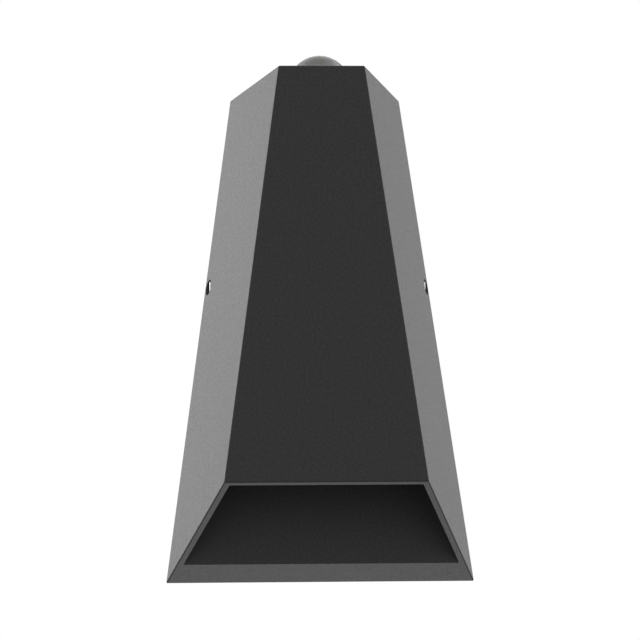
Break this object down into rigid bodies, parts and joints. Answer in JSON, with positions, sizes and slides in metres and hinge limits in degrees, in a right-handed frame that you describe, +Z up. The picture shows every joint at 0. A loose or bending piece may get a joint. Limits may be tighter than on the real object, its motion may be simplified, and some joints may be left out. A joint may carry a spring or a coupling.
{
  "type": "up-down wall light",
  "caption": "Tapered cast wall light with bevelled sides, a glass dome lens on top and an open light recess below, clamped on a wall bracket by side screws.",
  "frame": {"origin": "on the wall plane, midway between the bracket's two wall screw holes and level with the side screws", "axes": "+Z up along the wall, +Y into the wall, +X to the right as seen from the front"},
  "size_m": [0.1362, 0.0635, 0.2289],
  "materials": {
    "powder_coat": "matte anthracite powder coat with a fine texture",
    "zinc_steel": "satin zinc plate",
    "stainless_steel": "turned, satin",
    "brass": "satin",
    "clear_glass": "clear, polished",
    "black_frame": "matte black powder coat",
    "bare_aluminium": "extruded, satin",
    "white_cup": "matte white reflector plastic",
    "board_white": "white solder mask",
    "light_chip": "yellow phosphor",
    "driver_case": "matte white moulding",
    "terminal_plastic": "ivory moulding",
    "black_rubber": "matte",
    "foam_strip": "open-cell foam",
    "silicone_seal": "translucent silicone",
    "lead_jacket": "smooth jacket"
  },
  "bodies": {
    "bracket": {"wall_bracket": "zinc_steel"},
    "housing": {"housing": "powder_coat", "wall_gasket": "foam_strip", "rear_cover": "zinc_steel", "rear_cover_gasket": "silicone_seal", "rear_cover_screws": "stainless_steel", "cable_grommet": "black_rubber", "earth_screw": "brass", "terminal_block": "terminal_plastic", "terminal_screws": "brass", "led_driver": "driver_case", "driver_screws": "stainless_steel", "lower_led_board": "board_white", "lower_leds": "light_chip", "lower_heat_sink": "bare_aluminium", "heat_sink_screws": "stainless_steel", "lower_glass": "clear_glass", "glass_gasket": "silicone_seal", "glass_frame": "black_frame", "glass_frame_screws": "stainless_steel", "dome_lens": "clear_glass", "lens_gasket": "silicone_seal", "uplight_cup": "white_cup", "uplight_cup_screws": "stainless_steel", "uplight_board": "board_white", "uplight_led": "light_chip", "lower_led_lead": "lead_jacket", "uplight_lead": "lead_jacket"},
    "left_screw": {"left_side_screw": "stainless_steel"},
    "right_screw": {"right_side_screw": "stainless_steel"}
  },
  "joints": [
    {"name": "housing_lift_off", "type": "slide", "parent": "bracket", "child": "housing", "axis": [0, -1, 0], "range_m": [0, 0.06]},
    {"name": "left_screw_out", "type": "slide", "parent": "housing", "child": "left_screw", "axis": [-1, 0, 0], "range_m": [0, 0.004]},
    {"name": "right_screw_out", "type": "slide", "parent": "housing", "child": "right_screw", "axis": [1, 0, 0], "range_m": [0, 0.004]}
  ]
}
